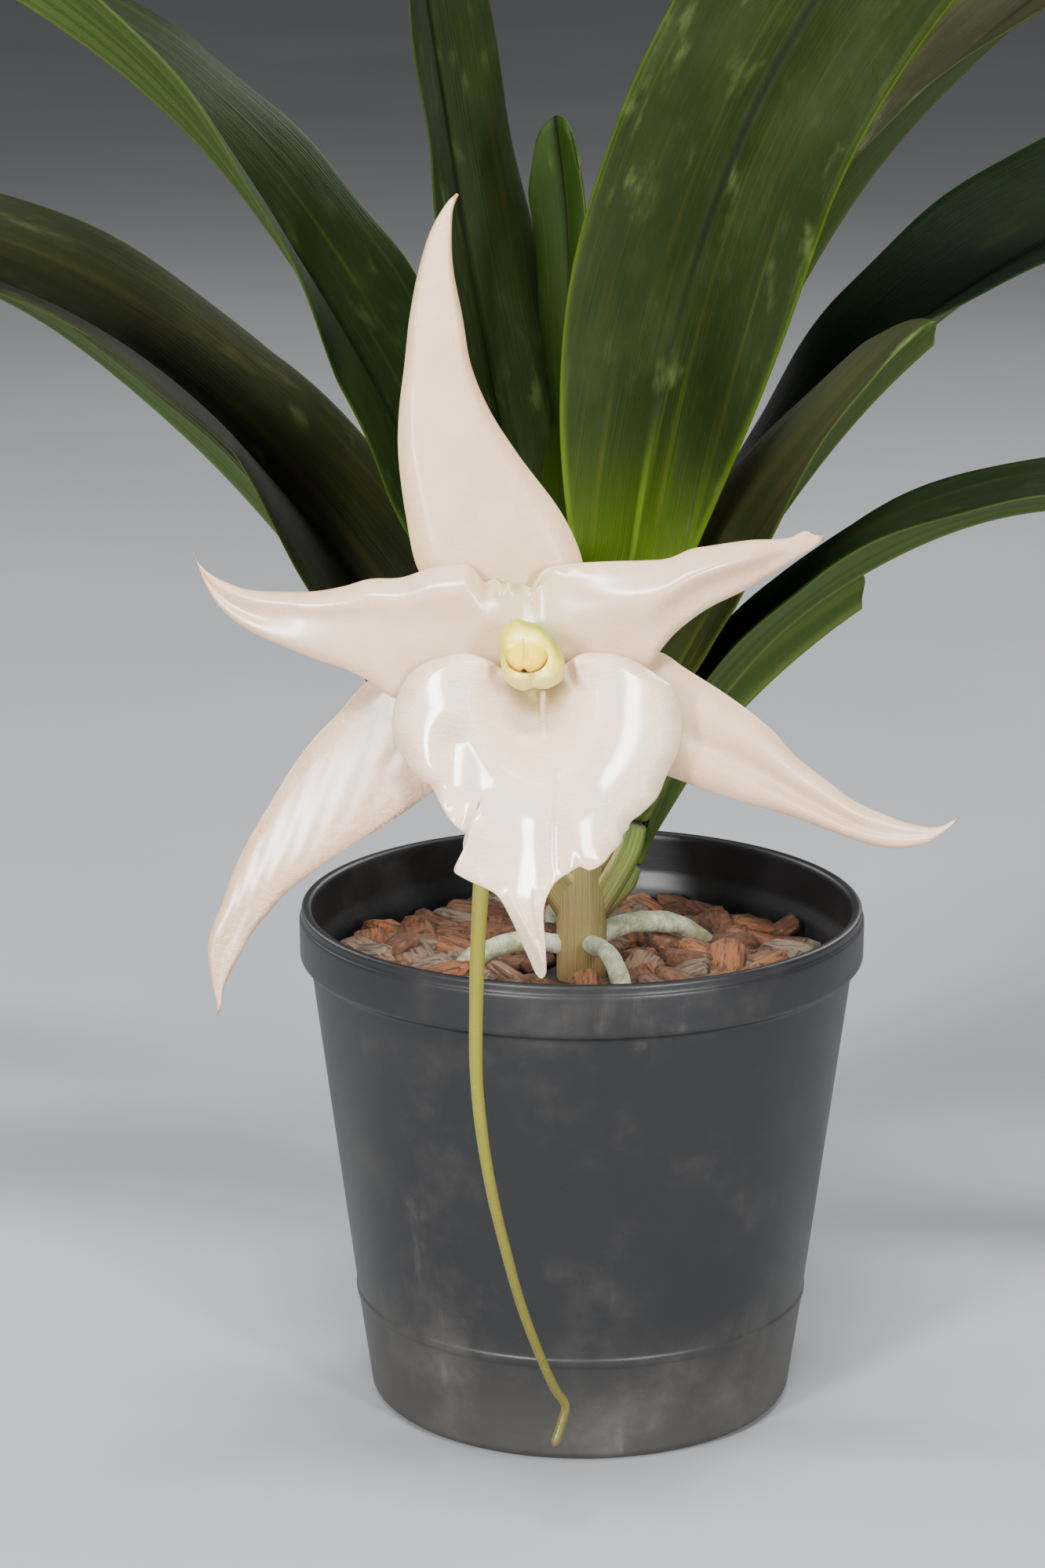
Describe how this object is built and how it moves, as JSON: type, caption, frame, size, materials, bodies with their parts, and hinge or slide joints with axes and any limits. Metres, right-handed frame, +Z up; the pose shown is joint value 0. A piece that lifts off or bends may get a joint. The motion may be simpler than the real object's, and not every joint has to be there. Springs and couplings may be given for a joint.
{
  "type": "potted orchid",
  "caption": "Potted orchid with a fan of long strap leaves and a white star-shaped flower whose slender spur hangs before a tapered black pot; stands on a flat surface as decoration.",
  "frame": {"origin": "the centre of the pot's underside, on the surface that the pot stands on", "axes": "+Z up along the pot's axis and the stem, the flower faces -Y and is tipped a little upwards, and the two ranks of leaves spread along +X and -X"},
  "size_m": [0.4518, 0.2584, 0.4553],
  "materials": {
    "pot_plastic": "matte",
    "bark": "matte",
    "stem": "matte",
    "leaf": "satin",
    "root": "matte",
    "stalk": "matte",
    "petal": "satin",
    "lip": "satin",
    "spur": "satin",
    "column": "satin",
    "anther": "satin"
  },
  "bodies": {
    "root": {"pot": "pot_plastic", "bark": "bark", "stem": "stem", "root_left": "root", "root_back": "root", "root_right": "root", "root_front": "root", "leaf_heart": "leaf", "leaf_right_front": "leaf", "leaf_right_back": "leaf", "leaf_right_high": "leaf", "leaf_right_short": "leaf", "leaf_right_level": "leaf", "leaf_right_low": "leaf", "leaf_left_upright": "leaf", "leaf_left_high": "leaf", "leaf_left_back": "leaf", "leaf_left_arched": "leaf", "flower_stalk": "stalk", "dorsal_sepal": "petal", "lateral_sepal_left": "petal", "lateral_sepal_right": "petal", "petal_left": "petal", "petal_right": "petal", "lip": "lip", "spur": "spur", "column": "column", "anther_cap": "anther"}
  },
  "joints": []
}
